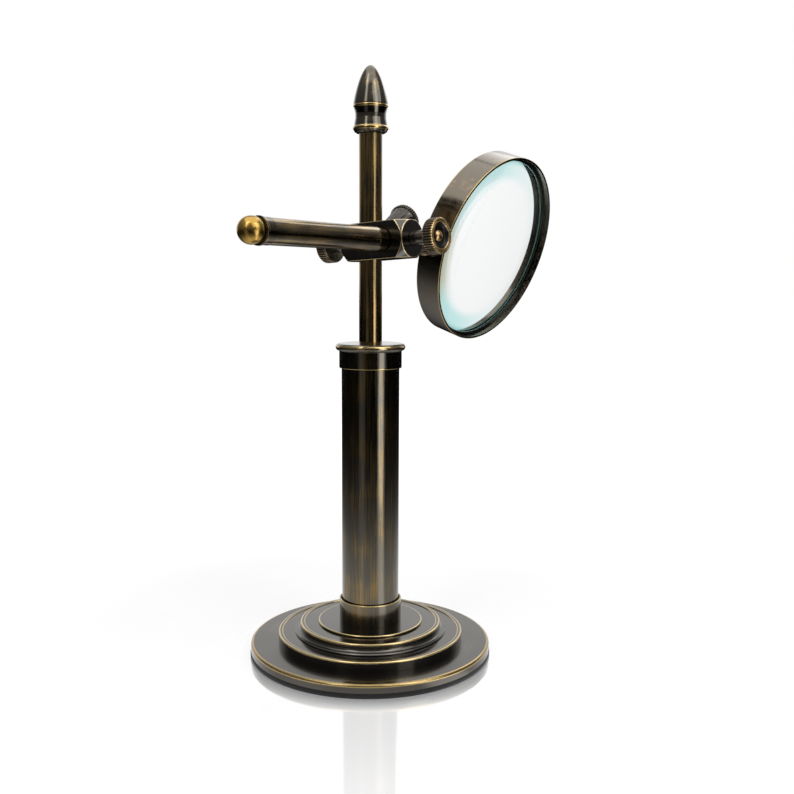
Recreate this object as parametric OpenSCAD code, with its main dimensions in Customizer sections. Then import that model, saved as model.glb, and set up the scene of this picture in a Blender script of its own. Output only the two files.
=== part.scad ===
// Stand magnifier: a stepped round base, a column with a slim rod, and a clamp on the rod
// that carries a cross arm. The arm ends in a ball at the front and in the framed lens at the back.
// +Z is up, the origin is the centre of the base's underside, and the arm runs along +X to the lens.

/* [Base] */
// Diameter of the felt pad
pad_d = 136.4; // [126:0.2:150]
// Thickness of the felt pad
pad_t = 2.6; // [2:0.1:4]
// Diameter of the base plate
base_d = 135.6; // [125:0.2:149]
// Height of the base plate
base_h = 4.9; // [4.5:0.1:8]
// Diameter of the middle step
mid_d = 104.4; // [98:0.2:110]
// Height of the middle step
mid_h = 5.5; // [5:0.1:9]
// Diameter of the upper step
up_d = 79.6; // [74:0.2:84]
// Height of the upper step above the floor of the middle one
up_h = 5.4; // [4:0.1:9]
// Width of the raised lip round each step
lip_w = 2.7; // [2:0.1:4]
// Depth of the floor inside each lip
lip_drop = 0.5; // [0.3:0.05:1]
// Diameter of the thin disc under the column
top_d = 59; // [50:0.5:66]

/* [Column] */
// Outside diameter of the column tube
tube_d = 32; // [30:0.2:34]
// Wall of the column tube
tube_wall = 1.6; // [1:0.1:3]
// Height of the cap's top above the table
cap_top = 176; // [160:1:180]
// Height of the socket at the tube's foot
socket_h = 12.6; // [11:0.1:16]
// Diameter of the slim rod
rod_d = 12.6; // [12:0.1:12.8]
// Height of the rod's top above the table
rod_top = 289; // [285:1:300]
// Height of the finial
finial_h = 35.6; // [30:0.1:40]

/* [Clamp] */
// Height of the clamp's centre above the table
clamp_z = 232; // [226:0.1:238]
// Side of the square clamp bar
block_w = 20; // [19:0.2:21]
// Distance between the rod's axis and the arm's axis
axis_gap = 15; // [14.8:0.1:16]
// Distance from each hole's axis to the nearer end of the bar
end_gap = 13.4; // [12:0.1:14.5]
// How far in from each end the turned cone reaches the corners of the bar
cone_reach = 4.8; // [3:0.1:6]
// Lean of the bar across the arm, from square to the rod, in degrees
bar_lean = 3.4; // [0:0.1:4]
// Wall of the split liners round the rod and the arm
liner_wall = 0.6; // [0.5:0.05:0.6]

/* [Thumb screws] */
// Diameter of the two end knobs
knob_d = 19; // [17:0.2:20]
// Diameter of the back knob
back_knob_d = 18.4; // [17:0.2:19]
// Thickness of an end knob
knob_t = 6.4; // [5:0.1:7]
// Thickness of the back knob's rim
back_knob_t = 3.2; // [3:0.1:3.6]
// Grooves cut round each knob
knob_teeth = 42; // [30:1:48]
// Length of the bare neck between the clamp and an end knob
neck_len = 12; // [10:0.1:14]
// Upward lean of the back screw in degrees
back_lean = 22.2; // [14:0.1:23]
// Distance from the rod's axis to the back knob's rear face
back_reach = 33; // [29:0.1:33.2]

/* [Arm and lens] */
// Diameter of the cross arm
arm_d = 12.8; // [12:0.1:12.9]
// Droop of the arm towards the lens, in degrees
arm_droop = 0.8; // [0:0.1:1]
// Distance from the clamp's centre plane to the centre of the ball
ball_x = 106.1; // [100:0.1:130]
// Diameter of the ball
ball_d = 13.2; // [12.8:0.1:13.6]
// Distance from the clamp's centre plane to the centre of the lens
lens_x = 96; // [96:0.1:110]
// Outside diameter of the lens ring
ring_d = 114.4; // [100:0.2:114.4]
// Width of the lens ring
ring_w = 16.4; // [15:0.1:18]
// Wall of the lens ring
ring_wall = 1.4; // [1.2:0.1:2]
// Turn of the lens about the arm, from upright, in degrees
lens_tilt = 18.4; // [0:0.1:30]
// Thickness of the lens at its edge
lens_edge = 3; // [2:0.1:4]
// Rise of each face of the lens at its middle
lens_rise = 5; // [3:0.1:5.5]

/* [Hidden] */
$fn = 96;

bronze = "#3a2a1a";
worn_bronze = "#6b5233";
gold = "#b8923f";
steel = "#8a8a88";

// Gap between pieces that are screwed or pushed together
seat = 0.05;
// Gap between pieces that slide or turn on each other
run = 0.05;
// Gap between faces that stay apart
clear = 0.1;
// Radius added to a hole that its bolt doesn't fit closely
slack = 0.2;
// How far a cutting tool runs past the face that it cuts
past = 1;

// Heights of the stack from the table up
base_z = pad_t;
mid_z = base_z + base_h;
mid_floor = mid_z + mid_h - lip_drop;
up_floor = mid_floor + up_h - lip_drop;
top_disc_t = 1.2;
socket_z = up_floor + top_disc_t;
socket_floor = 4;
tube_z = socket_z + socket_floor;
cap_roof = 6;
roof_z = cap_top - cap_roof;

// Base: wall of the spun tray, its rim, and the hole for the nut
base_wall = 1.6;
rim_wall = 2.4;
base_round = 1.4;
centre_hole = 12;
edge_round = 0.9;
lip_slope = 0.3;
foot_w = 3;
foot_h = 1.1;
foot_bevel = 0.5;
cove_r = 1.6;
disc_round = 0.8;
pad_round_in = 0.3;
pad_overhang = 1.3;

screw_circle = 30;
base_screw_r = 2;
screw_head_r = 4;
screw_head_h = 1.4;
screw_bite = 3;

// Column: tie rod, nut and the plug in the tube's head
tube_r = tube_d / 2;
tube_in = tube_r - tube_wall;
socket_wall = 1.5;
socket_bevel = 0.5;
mouth_depth = 1.4;
tie_r = 4;
tie_hole = tie_r + slack;
tie_z = 3.4;
nut_t = 4;
nut_across = 15;
washer_t = 1.4;
nut_pocket = 2;
washer_z = mid_z + nut_pocket - washer_t;
spigot = 8;
spigot_gap = 0.5;
plug_h = 14;
bead_r = 2;
bead_centre = cap_top - bead_r;
cap_r = tube_r + 1.3;
cap_h = 13.5;
cap_z = cap_top - cap_h;
cap_bevel = 0.5;

// Rod and finial
rod_r = rod_d / 2;
stud_r = 3;
stud_len = 16;
finial_foot_r = 9.7;
finial_foot_z = 2.6;
finial_roll = 1.3;
waist_r = 8.3;
waist_z = 8;
waist_h = 2.2;
waist_flare = 0.4;
shoulder_r = 9.5;
shoulder_z = 14.2;
shoulder_roll = 1;
spire_z = 15.4;
spire_r = 9.3;
spire_power = 1.17;
spire_steps = 14;

// Clamp: bores, the bar's length and the points where the screws start and end
arm_r = arm_d / 2;
rod_bore = rod_r + liner_wall + 2 * run;
arm_bore = arm_r + liner_wall + 2 * run;
liner_gap = 0.8;
liner_split = 0.8;
half_w = block_w / 2;
rod_spot = axis_gap / cos(bar_lean);
bar_len = rod_spot + 2 * end_gap;

shank_r = 3;
shank_bevel = 0.5;
neck_r = 3.9;
neck_gap = 0.3;
spindle_r = 2.5;
dish_r = 7;
dish_d = 2.4;
back_dish_d = 1.6;
dish_rise = 0.4;
dish_round = 1.2;
rear_bevel = [0.7, 0.6];
face_bevel = [0.6, 0.5];
button_r = 3.3;
button_h = 2.3;
groove_d = 0.45;

end_tip = rod_bore + shank_r * sin(bar_lean) + clear;
arm_tip = arm_bore + clear;
end_knob_z = end_gap + neck_len;
end_floor_z = end_knob_z + knob_t - dish_d;
back_floor_z = back_reach + back_knob_t - back_dish_d;
back_tip = (rod_bore + shank_r * sin(back_lean)) / cos(back_lean) + clear;
back_start = 12.6;
flare_z = back_start + 1;
flare_r = 5;

// Arm, ball, ring and lens
ball_r = ball_d / 2;
flange_r = 6.9;
flange_t = 1.2;
flange_round = 0.3;
sleeve_r = arm_r + 0.15;
ferrule_len = 6.2;
ferrule_end = ball_x - 4;
cup_r = 5.5;
cup_seat_r = 4.1;
arm_front = ferrule_end - ferrule_len;
ball_grip = 2;
ring_r = ring_d / 2;
ring_in = ring_r - ring_wall;
ring_near = lens_x - ring_r;
ring_bevel = 0.4;
boss_len = 10;
boss_r = 7.2;
boss_lead = 0.8;
boss_start = ring_near - boss_len;
collar_r = boss_r + 0.4;
collar_z = ring_near - 1.2;
neck_z = ring_near - 3;
lens_front = ring_w / 2 - 5.7;
lens_back = lens_front - lens_edge;
lens_r = ring_in - slack;
ledge = 1.6;
lip_in = ring_in - ledge;
face_r = (lens_r * lens_r + lens_rise * lens_rise) / (2 * lens_rise);
face_dip = sqrt(face_r * face_r - lip_in * lip_in) - face_r + lens_rise;
ledge_t = 1.15;
ledge_slope = 0.3;
retainer_t = 1.2;
retainer_z = lens_front + face_dip + clear;

// Points of an arc about [cx, cz], from angle a0 to a1
function arc(cx, cz, r, a0, a1, n = 5) =
    [for (i = [0:n]) [cx + r * cos(a0 + (a1 - a0) * i / n), cz + r * sin(a0 + (a1 - a0) * i / n)]];

// A closed outline spun round the Z axis
module turned(points) rotate_extrude() polygon(points);

module bore(r, z0, z1) translate([0, 0, z0]) cylinder(r = r, h = z1 - z0);

// A pipe about the Z axis
module pipe(r_out, r_in, z0, z1) difference() {
    bore(r_out, z0, z1);
    bore(r_in, z0 - past, z1 + past);
}

// Turns a piece built about Z so that it lies about the arm's axis, with +Z along +X
module on_arm() translate([0, -axis_gap, clamp_z]) rotate([0, 90 + arm_droop, 0]) children();

// Turns a piece built about Z so that +Z is the lens's front
module on_lens() translate([0, -axis_gap, clamp_z]) rotate([0, arm_droop, 0])
    translate([lens_x, 0, 0]) rotate([90 + lens_tilt, 0, 0]) children();

// Places a piece of the bar, built along Y with the arm's axis at its origin
module on_bar() translate([0, -axis_gap, clamp_z]) rotate([-bar_lean, 0, 0]) children();

// Each thumb screw is built about Z, pointing out, from the axis that it locks
module at_rod_screw() on_bar() translate([0, rod_spot, 0]) rotate([-90, 0, 0]) children();
module at_arm_screw() on_bar() rotate([90, 0, 0]) children();
module at_back_screw() on_bar() translate([0, rod_spot, 0]) rotate([0, 90 - back_lean, 0]) children();

module base_screw_spots() for (a = [60, 180, 300]) rotate(a) translate([screw_circle, 0, 0]) children();

// Outline of a step's top: rounded outer edge, raised lip, floor sunk inside the lip
function lipped(r, z1, hole) = concat(
    arc(r - edge_round, z1 - edge_round, edge_round, 0, 90),
    [[r - lip_w + lip_slope, z1], [r - lip_w, z1 - lip_drop], [hole, z1 - lip_drop]]
);

module felt_pad() color("#141414") {
    r = pad_d / 2;
    turned(concat(
        [[0, 0], [r - pad_round_in, 0]],
        arc(r - pad_overhang, pad_t / 2, pad_t / 2, -60, 60),
        [[0, pad_t]]
    ));
}

// A shallow spun tray, open below, with a hole for the nut
module base_plate() color(bronze) {
    r = base_d / 2;
    difference() {
        turned(concat(
            [[centre_hole, base_z], [r, base_z]],
            arc(r - base_round, mid_z - base_round, base_round, 0, 90),
            [[centre_hole, mid_z]]
        ));
        bore(r - rim_wall, base_z - past, mid_z - base_wall);
        base_screw_spots() bore(base_screw_r + seat, base_z, mid_z + past);
    }
}

// An iron disc that fills the tray, counterbored for the screws
module ballast_weight() color("#2b2b2b") difference() {
    pipe(base_d / 2 - rim_wall - slack, centre_hole, base_z + clear, mid_z - base_wall);
    base_screw_spots() bore(base_screw_r + seat, base_z, mid_z);
    base_screw_spots() bore(screw_head_r, base_z, base_z + screw_head_h);
}

// Three screws hold the weight and the base plate up against the middle step
module base_screws() color(steel) base_screw_spots() turned([
    [0, base_z + clear], [screw_head_r - slack, base_z + clear],
    [screw_head_r - slack, base_z + screw_head_h], [base_screw_r, base_z + screw_head_h],
    [base_screw_r, mid_z + screw_bite], [0, mid_z + screw_bite]
]);

module middle_step() color(bronze) difference() {
    turned(concat([[tie_hole, mid_z], [mid_d / 2, mid_z]], lipped(mid_d / 2, mid_z + mid_h, tie_hole)));
    bore(centre_hole, mid_z - past, mid_z + nut_pocket);
    base_screw_spots() bore(base_screw_r + seat, mid_z - past, mid_z + screw_bite + slack);
}

// The upper step stands on a narrow foot ring with a cove above it
module upper_step() color(bronze) {
    r = up_d / 2;
    foot_r = r + foot_w;
    foot_top = mid_floor + foot_h;
    turned(concat(
        [[tie_hole, mid_floor], [foot_r, mid_floor], [foot_r, foot_top - foot_bevel]],
        [[foot_r - foot_bevel, foot_top], [r + cove_r, foot_top]],
        arc(r + cove_r, foot_top + cove_r, cove_r, -90, -180, 4),
        lipped(r, mid_floor + up_h, tie_hole)
    ));
}

module top_disc() color(worn_bronze) turned(concat(
    [[tie_hole, up_floor], [top_d / 2, up_floor]],
    arc(top_d / 2 - disc_round, socket_z - disc_round, disc_round, 0, 90),
    [[tie_hole, socket_z]]
));

// A turned cup: the tube stands in it, and a chamfer runs round its mouth
module column_socket() color(bronze) {
    r = tube_r + socket_wall;
    z1 = socket_z + socket_h;
    cup_r = tube_r + seat;
    turned([
        [tie_hole, socket_z], [r, socket_z], [r, z1 - socket_bevel], [r - socket_bevel, z1],
        [r - socket_bevel - slack, z1], [cup_r, z1 - mouth_depth], [cup_r, tube_z], [tie_hole, tube_z]
    ]);
}

module column_tube() color(bronze) pipe(tube_r, tube_in, tube_z, roof_z);

module tube_plug() color(worn_bronze) pipe(tube_in - seat, tie_r + seat, roof_z - plug_h, roof_z);

// A plain band over the tube with a half-round bead round its top
module column_cap() color(bronze) difference() {
    turned(concat(
        [[rod_r + seat, cap_z], [cap_r - cap_bevel, cap_z], [cap_r, cap_z + cap_bevel]],
        [[cap_r, bead_centre - bead_r]],
        arc(cap_r, bead_centre, bead_r, -70, 90, 8),
        [[rod_r + seat, cap_top]]
    ));
    bore(tube_r + seat, cap_z - past, roof_z);
}

// The long stud that pulls the base, the socket and the column together
module tie_rod() color(steel) bore(tie_r, tie_z, roof_z - spigot - spigot_gap);

module tie_washer() color(steel) pipe(centre_hole - past, tie_hole, washer_z, washer_z + washer_t);

module tie_nut() color(steel) difference() {
    translate([0, 0, washer_z - nut_t]) cylinder(d = nut_across, h = nut_t, $fn = 6);
    bore(tie_r + seat, washer_z - nut_t - past, washer_z + past);
}

// The slim rod, with a spigot below that screws into the plug
module rod() color(worn_bronze) difference() {
    turned([
        [0, roof_z - spigot], [tie_r, roof_z - spigot], [tie_r, roof_z], [rod_r, roof_z],
        [rod_r, rod_top], [0, rod_top]
    ]);
    bore(stud_r + seat, rod_top - stud_len / 2, rod_top + past);
}

// A turned spire: rolled foot, waist, shoulder ring, and a long ogive that ends in a round tip
module finial() color(worn_bronze) translate([0, 0, rod_top]) difference() {
    spire_h = finial_h - spire_z;
    turned(concat(
        [[0, 0], [rod_r + finial_roll, 0], [finial_foot_r - 1, finial_roll / 2]],
        arc(finial_foot_r - finial_roll, finial_foot_z, finial_roll, -40, 60, 4),
        [[waist_r + waist_flare, waist_z - waist_h], [waist_r, waist_z], [waist_r, waist_z + waist_h]],
        [[waist_r + waist_flare, waist_z + 2 * waist_h - waist_flare]],
        arc(shoulder_r - shoulder_roll, shoulder_z, shoulder_roll, -50, 40, 4),
        [for (i = [0:spire_steps]) let (t = 1 - pow(1 - i / spire_steps, 2))
            [spire_r * sqrt(1 - pow(t, spire_power)), spire_z + spire_h * t]]
    ));
    bore(stud_r + seat, -past, stud_len / 2 + seat);
}

module finial_stud() color(steel) translate([0, 0, rod_top])
    bore(stud_r, clear - stud_len / 2, stud_len / 2 - clear);

// Thin split sleeves line the clamp's two holes
module liner(r) difference() {
    length = block_w - 2 * liner_gap;
    pipe(r + run + liner_wall, r + run, -length / 2, length / 2);
    translate([-liner_split / 2, 0, -block_w]) cube([liner_split, block_w, 2 * block_w]);
}

module rod_liner() color(gold) translate([0, 0, clamp_z]) rotate(225) liner(rod_r);

module arm_liner() color(gold) on_arm() rotate(45) liner(arm_r);

// The square bar, its ends turned to cones, with crossed holes for the rod and the arm
module clamp_block() color(bronze) difference() {
    corner = half_w * sqrt(2) + seat;
    on_bar() intersection() {
        translate([-half_w, -end_gap, -half_w]) cube([block_w, bar_len, block_w]);
        translate([0, -end_gap, 0]) rotate([-90, 0, 0]) turned([
            [0, 0], [half_w, 0], [corner, cone_reach],
            [corner, bar_len - cone_reach], [half_w, bar_len], [0, bar_len]
        ]);
    }
    translate([0, 0, clamp_z]) bore(rod_bore, -block_w, block_w);
    on_arm() bore(arm_bore, -block_w, block_w);
    at_rod_screw() bore(shank_r + run, 0, block_w);
    at_arm_screw() bore(shank_r + run, 0, block_w);
    at_back_screw() bore(shank_r + run, 0, block_w);
}

// Outline of a knob's rim, cut with straight grooves
module grooved(r) polygon([
    for (i = [0:2 * knob_teeth - 1])
        let (q = i % 2 == 0 ? r : r - groove_d, a = 180 * i / knob_teeth) [q * cos(a), q * sin(a)]
]);

// A knob from its rear face up: grooved rim, raised face ring and a dish round the button
module knob(r, z0, t, dish) translate([0, 0, z0]) difference() {
    rim = r + clear;
    intersection() {
        linear_extrude(t) grooved(r);
        turned([
            [0, 0], [r - rear_bevel[0], 0], [rim, rear_bevel[1]],
            [rim, t - face_bevel[1]], [r - face_bevel[0], t], [0, t]
        ]);
    }
    turned([
        [0, t - dish], [button_r, t - dish], [dish_r - dish_round, t - dish + dish_rise],
        [dish_r, t], [dish_r, t + past], [0, t + past]
    ]);
    bore(spindle_r + seat, -past, t);
}

// A screw from its tip up: shank in the clamp, neck, spindle through the knob and a domed button
module screw(tip, start, knob_z, floor_z) {
    dome_r = button_r - clear;
    turned([
        [0, tip], [shank_r - shank_bevel, tip], [shank_r, tip + shank_bevel], [shank_r, start],
        [neck_r, start], [neck_r, knob_z], [spindle_r, knob_z], [spindle_r, floor_z],
        [dome_r, floor_z], [dome_r, floor_z + button_h / 4], [dome_r * 0.78, floor_z + button_h * 0.67],
        [dome_r * 0.4, floor_z + button_h * 0.92], [0, floor_z + button_h]
    ]);
}

module rod_lock_screw() color(bronze) at_rod_screw() screw(end_tip, end_gap + neck_gap, end_knob_z, end_floor_z);

module rod_lock_knob() color(worn_bronze) at_rod_screw() knob(knob_d / 2, end_knob_z, knob_t, dish_d);

module arm_lock_screw() color(bronze) at_arm_screw() screw(arm_tip, end_gap + neck_gap, end_knob_z, end_floor_z);

module arm_lock_knob() color(worn_bronze) at_arm_screw() knob(knob_d / 2, end_knob_z, knob_t, dish_d);

module back_lock_screw() color(bronze) at_back_screw() screw(back_tip, back_start, back_reach, back_floor_z);

// The back knob has a long flared boss on its rear face
module back_lock_knob() color(bronze) at_back_screw() {
    r = back_knob_d / 2;
    mouth_r = r - rear_bevel[0] - clear;
    knob(r, back_reach, back_knob_t, back_dish_d);
    difference() {
        turned([[0, flare_z], [flare_r, flare_z], [mouth_r, back_reach], [0, back_reach]]);
        bore(neck_r + seat, back_start, back_reach + past);
    }
}

// The cross arm, with a spigot at the lens's end that screws into the boss
module arm_rod() color(worn_bronze) on_arm() difference() {
    turned([
        [0, -arm_front], [arm_r, -arm_front], [arm_r, boss_start], [tie_r, boss_start],
        [tie_r, boss_start + spigot], [0, boss_start + spigot]
    ]);
    bore(stud_r + seat, -arm_front - past, -arm_front + stud_len / 2);
}

// A cap on the arm's end: a thin flange in front, a plain sleeve, and a cup that the ball sits in
module arm_ferrule() color(bronze) on_arm() {
    hole_r = stud_r + seat;
    seat_x = ball_x - sqrt(ball_r * ball_r - cup_seat_r * cup_seat_r) - seat;
    hole_x = ball_x - sqrt(ball_r * ball_r - hole_r * hole_r) - clear;
    turned([
        [hole_r, -hole_x], [cup_seat_r, -seat_x], [cup_r, -seat_x], [cup_r, -ferrule_end],
        [flange_r - flange_round, -ferrule_end], [flange_r, flange_round - ferrule_end],
        [flange_r, flange_t - ferrule_end], [sleeve_r, flange_t - ferrule_end],
        [sleeve_r, -arm_front], [hole_r, -arm_front]
    ]);
}

module ball_stud() color(steel) on_arm()
    bore(stud_r, ball_grip - ball_x, stud_len / 2 - arm_front - clear);

module arm_ball() color(gold) on_arm() difference() {
    translate([0, 0, -ball_x]) sphere(d = ball_d);
    bore(stud_r + seat, ball_grip - ball_x - clear, 0);
}

// A turned boss that the arm screws into, hollowed to sit on the ring's outside
module ring_boss() color(bronze) difference() {
    on_arm() turned([
        [0, boss_start], [boss_r - boss_lead, boss_start], [boss_r, boss_start + boss_lead],
        [boss_r, neck_z], [collar_r, collar_z], [collar_r, ring_near + past], [0, ring_near + past]
    ]);
    on_lens() bore(ring_r + seat, -ring_w, ring_w);
    on_arm() bore(tie_r + seat, boss_start - past, boss_start + spigot + clear);
}

// The band round the lens, with a thin ledge inside that the lens rests on
module lens_ring() color(bronze) on_lens() {
    half = ring_w / 2;
    seat_z = lens_back - face_dip - seat;
    turned([
        [ring_in, half], [ring_in, seat_z], [lip_in, seat_z], [lip_in, seat_z - ledge_t],
        [ring_in, seat_z - ledge_t - ledge_slope], [ring_in, -half], [ring_r - ring_bevel, -half],
        [ring_r, ring_bevel - half], [ring_r, half - ring_bevel], [ring_r - ring_bevel, half]
    ]);
}

module retaining_ring() color(worn_bronze) on_lens()
    pipe(ring_in - seat, lip_in, retainer_z, retainer_z + retainer_t);

// A clear lens, thick in the middle: each face is part of a sphere, and the edge is ground square
module lens() color("#cfe9e6", 0.35) on_lens() {
    half_angle = asin(lens_r / face_r);
    turned(concat(
        arc(0, lens_back - lens_rise + face_r, face_r, -90, half_angle - 90, 12),
        arc(0, lens_front + lens_rise - face_r, face_r, 90 - half_angle, 90, 12)
    ));
}

felt_pad();
base_plate();
ballast_weight();
base_screws();
middle_step();
upper_step();
top_disc();
column_socket();
column_tube();
tube_plug();
column_cap();
tie_rod();
tie_washer();
tie_nut();
rod();
finial();
finial_stud();
rod_liner();
clamp_block();
arm_liner();
rod_lock_screw();
rod_lock_knob();
arm_lock_screw();
arm_lock_knob();
back_lock_screw();
back_lock_knob();
arm_rod();
arm_ferrule();
ball_stud();
arm_ball();
ring_boss();
lens_ring();
retaining_ring();
lens();
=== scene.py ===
"""A desk magnifier on a stand, in dark antique bronze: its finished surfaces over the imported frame."""

import bpy
import numpy as np
from mathutils import Matrix, Vector


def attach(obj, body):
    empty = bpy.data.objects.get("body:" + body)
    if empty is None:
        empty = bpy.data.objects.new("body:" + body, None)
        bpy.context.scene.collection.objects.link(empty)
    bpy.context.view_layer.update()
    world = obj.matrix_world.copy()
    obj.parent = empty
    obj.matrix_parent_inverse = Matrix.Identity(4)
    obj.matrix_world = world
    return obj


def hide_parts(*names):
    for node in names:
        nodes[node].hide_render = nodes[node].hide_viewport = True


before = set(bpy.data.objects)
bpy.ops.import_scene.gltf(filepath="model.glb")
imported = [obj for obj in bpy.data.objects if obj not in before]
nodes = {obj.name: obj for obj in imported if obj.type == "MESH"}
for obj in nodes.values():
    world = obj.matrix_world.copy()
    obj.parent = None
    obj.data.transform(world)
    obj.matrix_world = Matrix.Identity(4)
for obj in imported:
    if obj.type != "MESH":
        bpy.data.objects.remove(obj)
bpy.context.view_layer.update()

# ---- The table, the camera and the lamps ----
# A glossy white table top in front of a white backdrop, in a studio that is dark towards the camera. The
# lamps are a soft box overhead, a wide one high on the right, a narrow one high on the left, a tall strip
# that stands near the stand on the right, and one behind the stand.

camera_spot = Vector((-0.42717, -0.33603, 0.2146))
heading, pan, tilt, roll = np.radians(-51.81), np.radians(1.5564), np.radians(7.196), np.radians(-0.2422)
ahead = Matrix.Rotation(heading, 3, "Z") @ Vector(
    (np.sin(pan) * np.cos(tilt), np.cos(pan) * np.cos(tilt), -np.sin(tilt))
)
across = Matrix.Rotation(roll, 3, ahead) @ ahead.cross(Vector((0, 0, 1))).normalized()
camera_data = bpy.data.cameras.new("camera")
camera_data.sensor_width = 36
camera_data.lens = 44.588
camera = bpy.data.objects.new("camera", camera_data)
bpy.context.scene.collection.objects.link(camera)
camera.matrix_world = Matrix.Translation(camera_spot) @ Matrix(
    (across, across.cross(ahead), -ahead)
).transposed().to_4x4()
bpy.context.scene.camera = camera
bpy.context.scene.view_settings.view_transform = "Standard"


def from_camera(turn, rise):
    """Direction from the stand, turned from the camera's direction (positive to its right) and raised."""
    a = np.arctan2(camera_spot.y, camera_spot.x) + np.radians(turn)
    e = np.radians(rise)
    return Vector((np.cos(a) * np.cos(e), np.sin(a) * np.cos(e), np.sin(e)))


def soft_box(name, direction, distance, wide, tall, glow, middle=0.18):
    """A rectangular lamp that faces the stand's axis at the height middle. glow is its face's brightness,
    where 1 is white."""
    data = bpy.data.lights.new(name, "AREA")
    data.shape = "RECTANGLE"
    data.size = wide
    data.size_y = tall
    data.energy = glow * np.pi * wide * tall
    lamp = bpy.data.objects.new(name, data)
    bpy.context.scene.collection.objects.link(lamp)
    lamp.location = Vector((0, 0, middle)) + direction * distance
    lamp.rotation_euler = (-direction).to_track_quat("-Z", "Y").to_euler()
    lamp.visible_camera = False
    lamp.visible_transmission = False


soft_box("overhead", from_camera(0, 84), 1.1, 1.5, 1.4, 1.3)
soft_box("high_right", from_camera(48, 38), 1.2, 1.1, 0.62, 1.7)
soft_box("high_left", from_camera(-35, 43), 1.15, 0.26, 0.8, 2.4)
soft_box("strip", from_camera(41, 0), 0.34, 0.11, 0.62, 1.55, 0.32)
soft_box("behind", from_camera(150, 42), 1.2, 0.5, 0.9, 1.4)


def links(tree, *pairs):
    for out, into in pairs:
        tree.links.new(out, into)


def arithmetic(tree, operation, *values):
    """A Math node on sockets or numbers."""
    node = tree.nodes.new("ShaderNodeMath")
    node.operation = operation
    for i, value in enumerate(values):
        if isinstance(value, bpy.types.NodeSocket):
            tree.links.new(value, node.inputs[i])
        else:
            node.inputs[i].default_value = value
    return node.outputs[0]


def ramp(tree, value, low, high, start=0.0, stop=1.0):
    """Goes smoothly from start to stop as the value goes from low to high."""
    node = tree.nodes.new("ShaderNodeMapRange")
    node.interpolation_type = "SMOOTHSTEP"
    for socket, number in (("From Min", low), ("From Max", high), ("To Min", start), ("To Max", stop)):
        node.inputs[socket].default_value = number
    tree.links.new(value, node.inputs["Value"])
    return node.outputs["Result"]


def along_direction(tree, vector, direction):
    """How far a vector socket points along a fixed direction."""
    node = tree.nodes.new("ShaderNodeVectorMath")
    node.operation = "DOT_PRODUCT"
    node.inputs[1].default_value = direction
    tree.links.new(vector, node.inputs[0])
    return node.outputs["Value"]


world = bpy.data.worlds.new("studio")
bpy.context.scene.world = world
world.use_nodes = True
tree = world.node_tree
tree.nodes.clear()
direction = tree.nodes.new("ShaderNodeTexCoord")
height = tree.nodes.new("ShaderNodeSeparateXYZ")
facing = along_direction(tree, direction.outputs["Generated"], Vector((ahead.x, ahead.y, 0)).normalized())
seen = tree.nodes.new("ShaderNodeLightPath")
backdrop = tree.nodes.new("ShaderNodeBackground")
backdrop.inputs["Color"].default_value = (1, 1, 1, 1)
out = tree.nodes.new("ShaderNodeOutputWorld")
links(tree, (direction.outputs["Generated"], height.inputs[0]))
white_behind = ramp(tree, facing, 0.35, 0.85)
walls = ramp(tree, height.outputs["Z"], -0.06, 0.3, 0.0, 0.17)
ceiling = arithmetic(tree, "ADD", walls, ramp(tree, height.outputs["Z"], 0.3, 0.95, 0.0, 0.35))
studio = arithmetic(tree, "MAXIMUM", white_behind, ceiling)
in_metal = arithmetic(tree, "MULTIPLY", studio, seen.outputs["Is Glossy Ray"])
in_glass = arithmetic(tree, "MAXIMUM", seen.outputs["Is Camera Ray"], seen.outputs["Is Transmission Ray"])
white = arithmetic(tree, "MAXIMUM", in_metal, in_glass)
dimmest = 0.03
links(
    tree,
    (arithmetic(tree, "MULTIPLY_ADD", white, 1 - dimmest, dimmest), backdrop.inputs["Strength"]),
    (backdrop.outputs[0], out.inputs["Surface"]),
)

floor_mesh = bpy.data.meshes.new("table_top")
floor_mesh.from_pydata([(-9, -9, 0), (9, -9, 0), (9, 9, 0), (-9, 9, 0)], [], [(0, 1, 2, 3)])
floor = bpy.data.objects.new("table_top", floor_mesh)
bpy.context.scene.collection.objects.link(floor)
white_top = bpy.data.materials.new("glossy_white_top")
white_top.use_nodes = True
tree = white_top.node_tree
tree.nodes.clear()
where = tree.nodes.new("ShaderNodeTexCoord")
away = tree.nodes.new("ShaderNodeVectorMath")
away.operation = "LENGTH"
lit = tree.nodes.new("ShaderNodeBsdfDiffuse")
lit.inputs["Color"].default_value = (0.62, 0.62, 0.62, 1)
own_white = tree.nodes.new("ShaderNodeEmission")
both = tree.nodes.new("ShaderNodeAddShader")
mirror = tree.nodes.new("ShaderNodeBsdfGlossy")
mirror.inputs["Roughness"].default_value = 0.05
mirror.inputs["Color"].default_value = (1, 1, 1, 1)
top = tree.nodes.new("ShaderNodeMixShader")
in_metal = tree.nodes.new("ShaderNodeEmission")
seen = tree.nodes.new("ShaderNodeLightPath")
either = tree.nodes.new("ShaderNodeMixShader")
out = tree.nodes.new("ShaderNodeOutputMaterial")
links(tree, (where.outputs["Object"], away.inputs[0]))
far = away.outputs["Value"]
# Painted light: what the metal sees of the top is an emission, brightest round the stand and fading
# outwards, a painted pool of light.
faded = arithmetic(tree, "POWER", arithmetic(tree, "DIVIDE", far, 0.25), 4.0)
shine = arithmetic(tree, "DIVIDE", 0.9, arithmetic(tree, "ADD", faded, 1.0))
side = tree.nodes.new("ShaderNodeVectorMath")
side.operation = "NORMALIZE"
tree.links.new(where.outputs["Object"], side.inputs[0])
for turn, sharp, glow in ((42, 0.955, 1.3), (-34, 0.96, 0.2)):
    # Painted reflection: the top glows brighter in the directions of two lamps, a painted glare of them
    # towards the stand.
    glare = ramp(tree, along_direction(tree, side.outputs["Vector"], from_camera(turn, 0)), sharp, 1.0)
    shine = arithmetic(tree, "MULTIPLY_ADD", glare, glow, shine)
at_plate = ramp(tree, far, 0.068, 0.084, 0.45, 0.0)
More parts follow.
